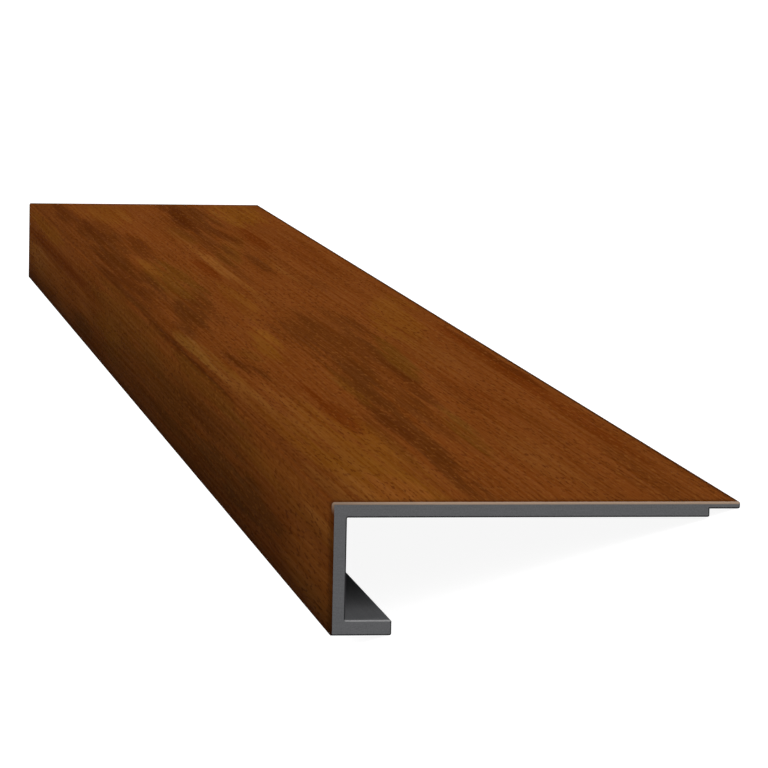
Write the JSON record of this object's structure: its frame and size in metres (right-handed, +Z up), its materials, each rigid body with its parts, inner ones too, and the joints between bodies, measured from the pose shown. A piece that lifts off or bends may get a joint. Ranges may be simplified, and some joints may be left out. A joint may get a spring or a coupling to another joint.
{
  "type": "landing nosing",
  "caption": "Long C-section landing nosing in wood-look rigid vinyl: tread plate with a thin rear lap, drop nose face and short return lip, grey core on the cut ends.",
  "frame": {"origin": "centre of the bounding box on the floor the piece lies on", "axes": "+Y along the length, +Z up, -X the side of the nose face; the piece lies tipped back on its return and lap"},
  "size_m": [0.1394, 1.22, 0.0468],
  "materials": {
    "core": "plain grey mineral-filled vinyl core, matt, with fine saw marks on the ends",
    "decor": "red-brown wood-grain print under a satin wear layer with shallow grain embossing"
  },
  "bodies": {
    "root": {"core_profile": "core", "decor_film": "decor"}
  },
  "joints": []
}
